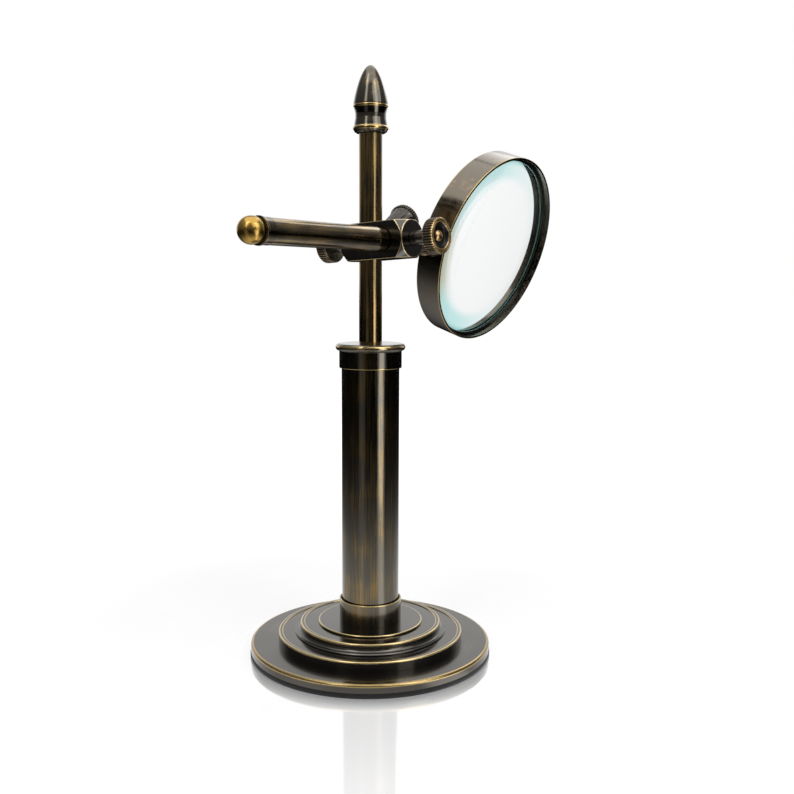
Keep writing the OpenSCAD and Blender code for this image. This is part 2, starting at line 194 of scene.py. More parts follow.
further = ramp(tree, far, 0.08, 0.27, 0.25, 0.0)
# A ray refracted by the lens counts as glossy as well, and has to see the plain white top.
glossy, refracted = seen.outputs["Is Glossy Ray"], seen.outputs["Is Transmission Ray"]
metal_only = arithmetic(tree, "SUBTRACT", glossy, refracted)
links(
    tree,
    (ramp(tree, far, 0.14, 0.45, 0.58, 1.0), own_white.inputs["Strength"]),
    (arithmetic(tree, "ADD", at_plate, further), top.inputs[0]),
    (shine, in_metal.inputs["Strength"]),
    (lit.outputs[0], both.inputs[0]),
    (own_white.outputs[0], both.inputs[1]),
    (both.outputs[0], top.inputs[1]),
    (mirror.outputs[0], top.inputs[2]),
    (metal_only, either.inputs[0]),
    (top.outputs[0], either.inputs[1]),
    (in_metal.outputs[0], either.inputs[2]),
    (either.outputs[0], out.inputs["Surface"]),
)
floor_mesh.materials.append(white_top)

# ---- Felt pad ----
# A thin disc of black felt, glued under the base plate so that the stand slides without a mark.
# It is a little wider than the plate, and its edge is soft and slightly bulged.


def curve(cr, cz, r, start, end, steps=10):
    """Points (radius, height) of an arc about (cr, cz), from one angle to another, in millimetres."""
    a = np.radians(np.linspace(start, end, steps + 1))
    return [(cr + r * c, cz + r * s) for c, s in zip(np.cos(a), np.sin(a))]


def softened(outline):
    """Rounds an outline's corners. A point is (radius, height, rounding, wear): its corner becomes an arc
    tangent to both sides, and wear fades away from it along the outline as a bell curve."""
    fade_width = 0.36
    closed = outline[0][0] > 0
    spots = [tuple(p) + (0, 0)[len(p) - 2 :] if len(p) < 4 else tuple(p) for p in outline]
    count = len(spots)
    line = []
    for i, (r, z, rounding, wear_and_shade) in enumerate(spots):
        here = np.array((r, z))
        if not closed and i in (0, count - 1) or rounding == 0:
            line.append((r, z, wear_and_shade))
            continue
        before = np.array(spots[i - 1][:2]) - here
        after = np.array(spots[(i + 1) % count][:2]) - here
        long_b, long_a = np.hypot(*before), np.hypot(*after)
        before, after = before / long_b, after / long_a
        half = np.arccos(np.clip(before @ after, -1, 1)) / 2
        reach = min(rounding / np.tan(half), 0.45 * long_b, 0.45 * long_a)
        middle = here + (before + after) / np.hypot(*(before + after)) * reach / np.cos(half)
        radius = reach * np.tan(half)
        from_b, from_a = here + before * reach - middle, here + after * reach - middle
        steps = max(3, int(np.ceil(np.degrees(np.pi - 2 * half) / 15)))
        for t in np.linspace(0, 1, steps + 1):
            ray = from_b * (1 - t) + from_a * t
            line.append((*(middle + ray / np.hypot(*ray) * radius), wear_and_shade))
    ring = line + line[:1] if closed else line
    dense = []
    for (r0, z0, w0), (r1, z1, w1) in zip(ring[:-1], ring[1:]):
        length = np.hypot(r1 - r0, z1 - z0)
        near = [d for d in (0.06, 0.2, 0.4, 0.7, 1.4) if d < length / 2]
        cuts = [0.0] if length < 0.25 else [0.0] + near + [length - d for d in near[::-1]]
        for d in cuts:
            t = d / max(length, 1e-9)
            from_first = w0 * np.exp(-((d / fade_width) ** 2))
            from_second = w1 * np.exp(-(((length - d) / fade_width) ** 2))
            dense.append((r0 + (r1 - r0) * t, z0 + (z1 - z0) * t, max(from_first, from_second)))
    if not closed:
        dense.append(line[-1])
    return np.array(dense), closed


def surface(name, verts, faces, spun, wear_and_shade_mask):
    """A smooth mesh in metres. Its two attributes hold each vertex's place on the piece's own turning axis,
    in millimetres, and how far the finish is rubbed off there, or below 0 how dark painted shade makes it."""
    mesh = bpy.data.meshes.new(name)
    mesh.from_pydata(verts, [], faces)
    mesh.update()
    mesh.attributes.new("spun", "FLOAT_VECTOR", "POINT").data.foreach_set(
        "vector", np.asarray(spun, np.float32).ravel()
    )
    mesh.attributes.new("wear_and_shade_mask", "FLOAT", "POINT").data.foreach_set(
        "value", np.asarray(wear_and_shade_mask, np.float32).ravel()
    )
    mesh.shade_smooth()
    piece = bpy.data.objects.new(name, mesh)
    bpy.context.scene.collection.objects.link(piece)
    return piece


def turned(name, outline, place=Matrix.Identity(4), columns=192, radius_at=None, height_at=None, band=None):
    """A surface of revolution: point (s, a) lies at radius(s) from the axis, turned by the angle a, at
    height(s). radius_at and height_at change either of them by angle, for knurling and for cut ends, and
    band adds rubbing, or below 0 painted shade, by radius and height. columns is the number of angles, or
    the angles."""
    line, closed = softened(outline)
    if np.sum(line[:, 0] * np.roll(line[:, 1], -1) - np.roll(line[:, 0], -1) * line[:, 1]) < 0:
        line = line[::-1]
    rows = line if closed else line[1:-1]
    a = np.linspace(0, 2 * np.pi, columns, endpoint=False) if np.isscalar(columns) else columns
    columns = len(a)
    r = rows[:, :1] * np.ones_like(a)
    z = rows[:, 1:2] * np.ones_like(a)
    if radius_at is not None:
        r = radius_at(r, a, z)
    if height_at is not None:
        z = height_at(r, a, z)
    wear_and_shade = rows[:, 2:3] * np.ones_like(a)
    if band is not None:
        wear_and_shade = wear_and_shade + band(r, z)
    grid = np.stack([r * np.cos(a), r * np.sin(a), z], -1).reshape(-1, 3)
    wear_and_shade_mask = wear_and_shade.reshape(-1)
    count = len(rows)
    index = np.arange(count * columns).reshape(count, columns)
    lower, upper = (index, np.roll(index, -1, 0)) if closed else (index[:-1], index[1:])
    faces = np.stack(
        [lower, np.roll(lower, -1, 1), np.roll(upper, -1, 1), upper], -1
    ).reshape(-1, 4).tolist()
    if not closed:
        ends = np.array([(0, 0, line[0, 1]), (0, 0, line[-1, 1])])
        if height_at is not None:
            ends[:, 2] = height_at(ends[:, 0], 0, ends[:, 2])
        grid = np.concatenate([grid, ends])
        wear_and_shade_mask = np.append(wear_and_shade_mask, [line[0, 2], line[-1, 2]])
        first, last = count * columns, count * columns + 1
        faces += np.stack([np.full(columns, first), np.roll(index[0], -1), index[0]], -1).tolist()
        faces += np.stack([np.full(columns, last), index[-1], np.roll(index[-1], -1)], -1).tolist()
    mat = np.array(place)
    verts = (grid @ mat[:3, :3].T + mat[:3, 3]) * 0.001
    return surface(name, verts, faces, grid, wear_and_shade_mask)


def shown_as(piece, body, slot, *names):
    """The piece moves with its body and stands for its CAD nodes."""
    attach(piece, body)
    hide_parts(*names)


def material(name, **values):
    """An empty Principled material with constants on its own sockets."""
    made = bpy.data.materials.new(name)
    made.use_nodes = True
    shader = made.node_tree.nodes["Principled BSDF"]
    for socket, value in values.items():
        shader.inputs[socket.replace("_", " ")].default_value = value
    return made, made.node_tree, shader


def blend(tree, mask, first, second):
    """A colour between two, each a tuple or a socket, by a mask."""
    node = tree.nodes.new("ShaderNodeMix")
    node.data_type = "RGBA"
    for name, value in (("Factor", mask), ("A", first), ("B", second)):
        if isinstance(value, tuple):
            node.inputs[name].default_value = (*value, 1)
        else:
            tree.links.new(value, node.inputs[name])
    return node.outputs["Result"]


def noise(tree, scale, detail=2):
    """Fine noise in the piece's own space."""
    where = tree.nodes.new("ShaderNodeTexCoord")
    node = tree.nodes.new("ShaderNodeTexNoise")
    node.inputs["Scale"].default_value = scale
    node.inputs["Detail"].default_value = detail
    tree.links.new(where.outputs["Object"], node.inputs["Vector"])
    return node.outputs["Fac"]


felt, tree, shader = material("black_felt", Roughness=0.95, Sheen_Weight=0.3, Sheen_Roughness=0.5)
fibre = noise(tree, 1400, 4)
nap = tree.nodes.new("ShaderNodeBump")
nap.inputs["Strength"].default_value = 0.5
nap.inputs["Distance"].default_value = 0.0002
links(
    tree,
    (blend(tree, fibre, (0.004, 0.004, 0.005), (0.016, 0.015, 0.015)), shader.inputs["Base Color"]),
    (fibre, nap.inputs["Height"]),
    (nap.outputs["Normal"], shader.inputs["Normal"]),
)
pad = turned(
    "felt_disc",
    [(0, 0), (67.9, 0, 0.2), (68.2, 1.3, 1.0), (67.6, 2.6, 0.3), (0, 2.6)],
    columns=256,
)
pad.data.materials.append(felt)
shown_as(pad, "stand", "felt", "felt_pad")

# ---- Base plate ----
# A wide brass tray, spun on a lathe, coloured dark with an antique bronze finish and waxed. Handling has
# rubbed its rounded top edge back to gold.


def bronze_group():
    """Antique finish. Long streaks come from noise stretched along the piece's own axis, or, where Rings is
    1, fine rings from noise of the distance to it; blotches come from noise of a hand's scale. The
    attribute of rubbing and painted shade, broken up by fine noise, bares the brass, and where it is below
    0 painted shade darkens the finish nearly black and makes it rougher."""
    group = bpy.data.node_groups.new("antique_bronze", "ShaderNodeTree")
    for name, kind in (
        ("Spun", "NodeSocketVector"),
        ("Wear_And_Shade", "NodeSocketFloat"),
        ("Grain", "NodeSocketVector"),
        ("Rings", "NodeSocketFloat"),
        ("Dark", "NodeSocketColor"),
        ("Rubbed", "NodeSocketColor"),
        ("Gold", "NodeSocketColor"),
        ("Rub", "NodeSocketFloat"),
        ("Edge", "NodeSocketFloat"),
        ("Rough", "NodeSocketFloat"),
    ):
        group.interface.new_socket(name, in_out="INPUT", socket_type=kind)
    for name, kind in (
        ("Color", "NodeSocketColor"),
        ("Roughness", "NodeSocketFloat"),
        ("Height", "NodeSocketFloat"),
    ):
        group.interface.new_socket(name, in_out="OUTPUT", socket_type=kind)
    add = group.nodes.new
    given = add("NodeGroupInput")
    result = add("NodeGroupOutput")
    parts = add("ShaderNodeSeparateXYZ")
    links(group, (given.outputs["Spun"], parts.inputs[0]))
    x_squared = arithmetic(group, "MULTIPLY", parts.outputs["X"], parts.outputs["X"])
    y_squared = arithmetic(group, "MULTIPLY", parts.outputs["Y"], parts.outputs["Y"])
    out_from_axis = arithmetic(group, "SQRT", arithmetic(group, "ADD", x_squared, y_squared))
    ringed = add("ShaderNodeCombineXYZ")
    links(group, (out_from_axis, ringed.inputs["X"]), (parts.outputs["Z"], ringed.inputs["Z"]))
    path = add("ShaderNodeMix")
    path.data_type = "VECTOR"
    stretched = add("ShaderNodeVectorMath")
    stretched.operation = "MULTIPLY"
    streak = add("ShaderNodeTexNoise")
    streak.inputs["Scale"].default_value = 1.0
    streak.inputs["Detail"].default_value = 6
    streak.inputs["Roughness"].default_value = 0.62
    blotch = add("ShaderNodeTexNoise")
    blotch.inputs["Scale"].default_value = 0.05
    blotch.inputs["Detail"].default_value = 4
    fine = add("ShaderNodeTexNoise")
    fine.inputs["Scale"].default_value = 0.9
    fine.inputs["Detail"].default_value = 4
    links(
        group,
        (given.outputs["Rings"], path.inputs["Factor"]),
        (given.outputs["Spun"], path.inputs["A"]),
        (ringed.outputs[0], path.inputs["B"]),
        (path.outputs["Result"], stretched.inputs[0]),
        (given.outputs["Grain"], stretched.inputs[1]),
        (stretched.outputs[0], streak.inputs["Vector"]),
        (given.outputs["Spun"], blotch.inputs["Vector"]),
        (given.outputs["Spun"], fine.inputs["Vector"]),
    )
    patchy = arithmetic(group, "MULTIPLY_ADD", blotch.outputs["Fac"], 0.6, streak.outputs["Fac"])
    patchy = arithmetic(group, "MULTIPLY_ADD", given.outputs["Rub"], 0.4, patchy)
    rubbed = ramp(group, patchy, 0.86, 1.16)
    edge = arithmetic(group, "MULTIPLY_ADD", fine.outputs["Fac"], 0.6, given.outputs["Wear_And_Shade"])
    edge = arithmetic(group, "MULTIPLY_ADD", given.outputs["Edge"], 0.5, edge)
    bare = ramp(group, edge, 0.7, 1.3)
    # Painted shade: below 0 the mask turns the finish nearly black and rougher, in recesses and grooves.
    painted_shade = ramp(group, given.outputs["Wear_And_Shade"], -0.1, -0.9, 0.0, 0.85)
    color = blend(group, rubbed, given.outputs["Dark"], given.outputs["Rubbed"])
    color = blend(group, bare, color, given.outputs["Gold"])
    color = blend(group, painted_shade, color, (0.004, 0.004, 0.004))
    uneven = ramp(group, streak.outputs["Fac"], 0.3, 0.7, -1, 1)
    rough = arithmetic(group, "MULTIPLY_ADD", uneven, 0.05, given.outputs["Rough"])
    rough = arithmetic(group, "MULTIPLY_ADD", painted_shade, 0.4, rough)
    links(
        group,
        (color, result.inputs["Color"]),
        (rough, result.inputs["Roughness"]),
        (streak.outputs["Fac"], result.inputs["Height"]),
    )
    return group


antique = bronze_group()
along = (1.1, 1.1, 0.035)
even = (0.22, 0.22, 0.22)
lathe = (2.2, 2.2, 2.2)


def bronze(
    name,
    dark,
    rubbed,
    gold=(0.42, 0.3, 0.12),
    rub=0.0,
    edge=0.0,
    rough=0.17,
    grain=even,
    rings=0.0,
    coat=0.35,
    brushed=0.0,
):
    """The antique finish with a piece's own colours, amounts of rubbing and direction of grain. brushed
    spreads the shine across fine marks that run round the upright axis."""
    made, tree, shader = material(
        name,
        Metallic=1.0,
        Coat_Weight=coat,
        Coat_Roughness=0.09,
        Anisotropic=brushed,
        Anisotropic_Rotation=0.25,
    )
    finish = tree.nodes.new("ShaderNodeGroup")
    finish.node_tree = antique
    for socket, value in (
        ("Grain", grain),
        ("Rings", rings),
        ("Dark", (*dark, 1)),
        ("Rubbed", (*rubbed, 1)),
        ("Gold", (*gold, 1)),
        ("Rub", rub),
        ("Edge", edge),
        ("Rough", rough),
    ):
        finish.inputs[socket].default_value = value
    spun = tree.nodes.new("ShaderNodeAttribute")
    spun.attribute_name = "spun"
    wear_and_shade_mask = tree.nodes.new("ShaderNodeAttribute")
    wear_and_shade_mask.attribute_name = "wear_and_shade_mask"
    scratch = tree.nodes.new("ShaderNodeBump")
    scratch.inputs["Strength"].default_value = 0.08
    scratch.inputs["Distance"].default_value = 0.0002
    links(
        tree,
        (spun.outputs["Vector"], finish.inputs["Spun"]),
        (wear_and_shade_mask.outputs["Fac"], finish.inputs["Wear_And_Shade"]),
        (finish.outputs["Color"], shader.inputs["Base Color"]),
        (finish.outputs["Roughness"], shader.inputs["Roughness"]),
        (finish.outputs["Height"], scratch.inputs["Height"]),
        (scratch.outputs["Normal"], shader.inputs["Normal"]),
    )
    return made


turned_finish = {"grain": lathe, "rings": 1.0, "brushed": 0.5}
satin = bronze("satin_bronze", (0.074, 0.067, 0.057), (0.16, 0.135, 0.1), rough=0.2, **turned_finish)
plate = turned(
    "spun_plate",
    [
        (12, 5.9, 0.1),
        (12, 7.5, 0.1),
        (67.8, 7.5, 1.4, 0.95),
        (67.8, 2.6, 0.25, 0.2),
        (65.4, 2.6, 0.1),
        (65.4, 5.9, 0.2),
    ],
    columns=256,
)
plate.data.materials.append(satin)
shown_as(plate, "stand", "dark_bronze", "base_plate")

# ---- Middle step, upper step and top disc ----
# Discs turned from brass and stacked on the plate. Each of the two thick ones has a raised lip round a
# sunk floor, and the upper one stands on a foot ring with a cove.

lipped_bronze = bronze(
    "lipped_bronze",
    (0.086, 0.079, 0.069),
    (0.16, 0.135, 0.1),
    (0.55, 0.42, 0.2),
    edge=0.15,
    **turned_finish,
)
middle = turned(
    "middle_disc",
    [
        (4.2, 12.5),
        (4.2, 9.5),
        (12, 9.5),
        (12, 7.5),
        (52.2, 7.5, 0.1),
        (52.2, 13.0, 0.7, 1),
        (49.8, 13.0, 0.12, 1),
        (49.5, 12.5, 0.12),
    ],
    columns=256,
)
middle.data.materials.append(lipped_bronze)
shown_as(middle, "stand", "dark_bronze", "middle_step")
upper = turned(
    "upper_disc",
    [(4.2, 12.5), (42.8, 12.5, 0.1), (42.8, 13.1, 0.1), (42.3, 13.6, 0.2, 0.1)]
    + curve(41.4, 15.2, 1.6, -90, -180)
    + [(39.8, 17.9, 0.7, 1), (37.4, 17.9, 0.12, 1), (37.1, 17.4, 0.12), (4.2, 17.4)],
    columns=224,
)
upper.data.materials.append(lipped_bronze)
shown_as(upper, "stand", "dark_bronze", "upper_step")
disc = turned(
    "thin_disc",
    [(4.2, 17.4), (29.5, 17.4, 0.1), (29.5, 18.6, 0.5, 1), (4.2, 18.6)],
    columns=224,
)
disc.data.materials.append(lipped_bronze)
shown_as(disc, "stand", "worn_bronze", "top_disc")

# ---- Weight, screws and tie rod inside ----
# An iron disc fills the plate, screws hold the stack together, and a long steel stud with a nut pulls the
# column down on it. None of it shows in the finished stand.

iron, tree, shader = material("cast_iron", Metallic=0.6, Roughness=0.7)
pitted = blend(tree, noise(tree, 900), (0.035, 0.034, 0.033), (0.1, 0.095, 0.09))
links(tree, (pitted, shader.inputs["Base Color"]))
steel, tree, shader = material("turned_steel", Metallic=1.0)
marks = noise(tree, 600)
links(
    tree,
    (arithmetic(tree, "MULTIPLY_ADD", marks, 0.2, 0.25), shader.inputs["Roughness"]),
    (blend(tree, marks, (0.32, 0.32, 0.33), (0.5, 0.5, 0.5)), shader.inputs["Base Color"]),
)


def finish(made, *names):
    """Gives CAD nodes that keep their shape a material."""
    for name in names:
        nodes[name].data.materials.clear()
        nodes[name].data.materials.append(made)


finish(iron, "ballast_weight")
finish(steel, "base_screws", "tie_rod", "tie_washer", "tie_nut", "finial_stud", "ball_stud")

# ---- Column ----
# A brass tube in a turned socket, with a plug in its head that the tie rod screws into, and a turned cap
# with a half-round bead. The tube's finish is nearly black, rubbed through in faint streaks along it.

tube_bronze = bronze(
    "tube_bronze",
    (0.105, 0.098, 0.08),
    (0.26, 0.17, 0.06),
    (0.5, 0.37, 0.16),
    rub=0.3,
    rough=0.16,
    grain=along,
    brushed=0.4,
)
socket = turned(
    "tube_socket",
    [
        (4.2, 18.6),
        (17.5, 18.6, 0.12, 0.2),
        (17.5, 31.2, 0.35, 1),
        (16.8, 31.2, 0.1, 0.8),
        (16.05, 29.8, 0.1),
        (16.05, 22.6),
        (4.2, 22.6),
    ],
)
socket.data.materials.append(tube_bronze)
shown_as(socket, "stand", "dark_bronze", "column_socket")
tube = turned(
    "tube",
    [(14.4, 22.6), (16, 22.6, 0.1), (16, 170, 0.1), (14.4, 170)],
)
tube.data.materials.append(tube_bronze)
shown_as(tube, "stand", "dark_bronze", "column_tube")
plug_bronze = bronze("plug_bronze", (0.3, 0.21, 0.09), (0.4, 0.28, 0.12), rough=0.35)
plug = turned(
    "head_plug",
    [(4.05, 156), (14.35, 156, 0.2), (14.35, 170, 0.2), (4.05, 170)],
    columns=96,
)
plug.data.materials.append(plug_bronze)
shown_as(plug, "stand", "worn_bronze", "tube_plug")
bead_wear = np.exp(-((np.linspace(-1.1, 1, 17) / 0.5) ** 2))
cap = turned(
    "beaded_cap",
    [
        (16.05, 170),
        (16.05, 162.5),
        (17.3, 162.5, 0.3, 1),
        (17.3, 171.9, 0.15, 0.1),
    ]
    + [(r, z, 0, w) for (r, z), w in zip(curve(17.3, 174, 2, -70, 90, 16), bead_wear)]
    + [(6.35, 176, 0.1), (6.35, 170)],
)
cap.data.materials.append(tube_bronze)
shown_as(cap, "stand", "dark_bronze", "column_cap")

# ---- Rod and finial ----
# A slim brass rod, screwed into the plug, where the clamp has rubbed long streaks of gold through the
# finish. The finial is turned: a rolled foot, a waist, a shoulder ring and a pointed spire.

rod_bronze = bronze("rod_bronze", (0.09, 0.078, 0.055), (0.36, 0.235, 0.08), rub=0.62, grain=along)
rod = turned(
    "slim_rod",
    [
        (0, 162),
        (4, 162, 0.3),
        (4, 170),
        (6.3, 170),
        (6.3, 289, 0.2),
        (3.05, 289),
        (3.05, 281),
        (0, 281),
    ],
    columns=128,
)
rod.data.materials.append(rod_bronze)
shown_as(rod, "stand", "worn_bronze", "rod")
spire = 1 - (1 - np.linspace(0, 1, 31)) ** 2
finial_bronze = bronze("finial_bronze", (0.1, 0.09, 0.072), (0.2, 0.15, 0.08), rub=0.05, rough=0.14)
finial = turned(
    "spire_finial",
    [(3.05, 289), (7.6, 289, 0.2), (8.7, 289.65, 0.2)]
    + [(r, z, 0, 1) for r, z in curve(8.4, 291.6, 1.3, -40, 60)]
    + [(8.7, 294.8, 0.6), (8.3, 297, 4), (8.3, 299.2, 3), (8.7, 301, 0.8)]
    + [(r, z, 0, 0.9) for r, z in curve(8.5, 303.2, 1, -50, 40, 8)]
    + [
        (r, z, 0, 0.9 if i == len(spire) - 2 else 0)
        for i, (r, z) in enumerate(
            zip(9.3 * np.sqrt(1 - spire[:-1] ** 1.17), 304.4 + 20.2 * spire[:-1])
        )
    ]
    + [(0, 324.6, 0, 1)],
    columns=128,
)
finial.data.materials.append(finial_bronze)
shown_as(finial, "stand", "worn_bronze", "finial")

# ---- Clamp ----
# A square brass bar, its ends turned to cones in the lathe, with crossed holes for the rod and the arm.
# Each hole has a thin split liner of brass, which the thumb screws press on.

clamp_z = 232
arm_offset = 15
overhang = 13.4
bar_lean = np.radians(-3.4)
rod_spot = arm_offset / np.cos(bar_lean)
bar_length = rod_spot + 2 * overhang
half_bar = 10
bar_corner = 17
cone_rise = 0.873
cone_height = 8
at_arm = Matrix.Translation((0, -arm_offset, clamp_z))
on_bar = at_arm @ Matrix.Rotation(bar_lean, 4, "X")
along_bar = on_bar @ Matrix.Translation((0, -overhang, 0)) @ Matrix.Rotation(-np.pi / 2, 4, "X")


def square_bar(r, a, z):
    """The radius is the smooth least of the turned outline's and of a square's, which is half the bar's
    width over a high norm of the angle's cosine and sine."""
    norm = 60
    wall = half_bar / (np.abs(np.cos(a)) ** norm + np.abs(np.sin(a)) ** norm) ** (1 / norm)
    return r / (1 + (r / wall) ** norm) ** (1 / norm)


def bar_worn(local):
    """Wear by the distance to the nearest edge: the second nearest of the bar's faces and end cones."""
    x, y, z = np.abs(local[:, 0]), np.abs(local[:, 1]), local[:, 2]
    ends = np.minimum(z, bar_length - z)
    cone = (np.hypot(x, y) - half_bar - cone_rise * ends) / np.hypot(1, cone_rise)
    depth = np.sort(np.stack([x - half_bar, y - half_bar, cone, -ends], -1), -1)
    return np.exp(-((np.minimum(depth[:, -2] + 0.12, 0) / 0.3) ** 2))


def own_space(place, spots):
    """A mesh's flat array of points in metres, in millimetres about the piece's own axis."""
    back = np.array(place.inverted())
    return spots.reshape(-1, 3) * 1000 @ back[:3, :3].T + back[:3, 3]


across_wall = np.linspace(-1, 1, 45)[:-1]
wall_angles = np.arctan(0.6 * np.sin(across_wall * np.pi / 2) + 0.4 * across_wall)
cone_z = np.linspace(0.7, cone_height, 22)
straight = np.linspace(cone_height, bar_length - cone_height, 16)[1:-1]
bar = turned(
    "clamp_bar",
    [(0, 0), (5, 0), (half_bar, 0, 0.35)]
    + [(half_bar + cone_rise * z, z) for z in cone_z]
    + [(bar_corner, z) for z in straight]
    + [(half_bar + cone_rise * z, bar_length - z) for z in cone_z[::-1]]
    + [(half_bar, bar_length, 0.35), (5, bar_length), (0, bar_length)],
    along_bar,
    np.concatenate([wall_angles + quarter * np.pi / 2 for quarter in range(4)]),
    square_bar,
)
at_rod = on_bar @ Matrix.Translation((0, rod_spot, 0))
at_rod_screw = at_rod @ Matrix.Rotation(-np.pi / 2, 4, "X")
at_arm_screw = on_bar @ Matrix.Rotation(np.pi / 2, 4, "X")
at_back_screw = at_rod @ Matrix.Rotation(np.radians(67.8), 4, "Y")
droop = np.radians(0.8)
on_arm = at_arm @ Matrix.Rotation(np.pi / 2 + droop, 4, "Y")


def drilled(piece, *drills):
    """Cuts the drills, turned pieces themselves, out of a piece and takes them away."""
    for drill in drills:
        cut = piece.modifiers.new(drill.name, "BOOLEAN")
        cut.operation = "DIFFERENCE"
        cut.solver = "EXACT"
        cut.object = drill
    shape = bpy.data.meshes.new_from_object(piece.evaluated_get(bpy.context.evaluated_depsgraph_get()))
    piece.modifiers.clear()
    piece.data = shape
    for drill in drills:
        bpy.data.objects.remove(drill)


def drill(name, r, start, place):
    """A cylinder from a height on its own axis to well outside the bar."""
    return turned(name, [(0, start), (r, start), (r, 20), (0, 20)], place, 96)


drilled(
    bar,
    drill("rod_hole", 7.0, -20, Matrix.Translation((0, 0, clamp_z))),
    drill("arm_hole", 7.1, -20, on_arm),
    drill("rod_screw_hole", 3.05, 0.5, at_rod_screw),
    drill("arm_screw_hole", 3.05, 0.5, at_arm_screw),
    drill("back_screw_hole", 3.05, 0.5, at_back_screw),
)
spots = np.empty(len(bar.data.vertices) * 3)
bar.data.vertices.foreach_get("co", spots)
local = own_space(along_bar, spots)
bar.data.attributes["spun"].data.foreach_set("vector", local.astype(np.float32).ravel())
bar.data.attributes["wear_and_shade_mask"].data.foreach_set("value", bar_worn(local).astype(np.float32))
bar.data.set_sharp_from_angle(angle=np.radians(32))
clamp_bronze = bronze(
    "clamp_bronze", (0.08, 0.077, 0.07), (0.17, 0.15, 0.12), (0.6, 0.47, 0.26), edge=0.1, rough=0.18
)
bar.data.materials.append(clamp_bronze)
shown_as(bar, "clamp", "dark_bronze", "clamp_block")

liner_brass, tree, shader = material("liner_brass", Metallic=1.0, Roughness=0.3)
darkened = blend(tree, noise(tree, 500), (0.07, 0.052, 0.028), (0.15, 0.11, 0.055))
links(tree, (darkened, shader.inputs["Base Color"]))
finish(liner_brass, "rod_liner", "arm_liner")

# ---- Thumb screws ----
# Three brass screws lock the clamp. Each has a neck, a knurled knob pressed on its spindle, and a domed
# button in the knob's dish. The one behind the rod is longer, and its knob has a flared boss.

screw_bronze = bronze(
    "screw_bronze", (0.13, 0.115, 0.1), (0.26, 0.2, 0.13), (0.42, 0.27, 0.12), rub=0.1, rough=0.24
)


def thumb_screw(name, place, tip, start, knob_z, floor_z, body, node):
    """A screw from its tip up to the button in the knob's dish, whose dome is an arc of a circle."""
    button_r, rim_height, dome_height = 3.2, 0.6, 1.7
    dome_r = (button_r**2 + dome_height**2) / (2 * dome_height)
    half = np.degrees(np.arcsin(button_r / dome_r))
    dome_base, top = floor_z + rim_height, floor_z + rim_height + dome_height
    made = turned(
        name,
        [(0, tip), (3, tip, 0.5), (3, start), (3.9, start, 0.2, 0.7), (3.9, knob_z, 0.1), (2.5, knob_z)]
        + [(2.5, floor_z), (button_r, floor_z, 0.05), (button_r, dome_base, 0.25)]
        + curve(0, top - dome_r, dome_r, 90 - half + 3, 89, 10)
        + [(0, top)],
        place,
        96,
        band=lambda r, z: 0.95 * (z > dome_base),
    )
    made.data.materials.append(screw_bronze)
    shown_as(made, body, "worn_bronze", node)


teeth = 42
flutes = 16


def knob_outline(r, z, thick, dish):
    """The rim, the raised face with a fine turned line, the dish and the spindle's hole, from z up."""
    face, floor_z = z + thick, z + thick - dish
    return [
        (r - 0.7, z, 0.1, 0.3),
        (r, z + 0.55, 0.1, 0.5),
        (r, face - 0.45, 0.1, 0.8),
        (r - 0.6, face, 0.1, 1),
        (8.25, face, 0.04, 0.5),
        (8.17, face - 0.13, 0.03),
        (8.05, face - 0.13, 0.03),
        (7.97, face, 0.04, 0.5),
        (7, face, 0.15, 1),
        (5.8, floor_z + 0.4, 0.7),
        (3.3, floor_z, 0.1),
        (2.55, floor_z),
    ]


knob_bronze = bronze(
    "knob_bronze", (0.1, 0.088, 0.07), (0.22, 0.16, 0.09), (0.6, 0.4, 0.16), rub=0.05, edge=0.1, rough=0.22
)


def thumb_knob(name, place, r, z, thick, dish, under, body, node, slot, paint):
    """A knurled knob whose rear is the outline under, from the spindle's hole out to the rim. The rim's
    grooves are cut to a cosine raised above a threshold, which leaves flat lands between them. A flared
    boss below the knob has shallow flutes, a cosine of the angle that fades out at both ends."""

    def cut(r_, a, z_):
        groove = np.clip(1.3 * (0.5 - 0.5 * np.cos(teeth * a)) - 0.3, 0, 1)
        boss = np.clip((z_ - 15) / 4, 0, 1) * np.clip((32.6 - z_) / 2, 0, 1) * (r_ > 4.5) * (z_ < z - 0.1)
        return np.minimum(r_, r - 0.45 * groove) - 0.4 * boss * (0.5 - 0.5 * np.cos(flutes * a))

    # The face and the knurl's lands are rubbed to gold; the dish and the grooves between the teeth are
    # darkened: painted shade.
    def wear_and_shade(r_, z_):
        on_rim = (z_ > z + 0.5) & (z_ < z + thick - 0.4)
        on_land = r_ > r - 0.05
        in_groove = np.clip((r - 0.1 - r_) / 0.3, 0, 1) * (r_ > r - 0.5)
        on_face = (r_ > 6.95) & (z_ > z + thick - 0.05)
        in_dish = (r_ > 3.25) & (r_ < 6.6) & (z_ > z + 0.6)
        return 1.1 * on_face - 0.8 * in_dish + on_rim * (0.55 * on_land - 1.1 * in_groove)

    made = turned(name, under + knob_outline(r, z, thick, dish), place, teeth * 12, cut, band=wear_and_shade)
    made.data.materials.append(paint)
    shown_as(made, body, slot, node)


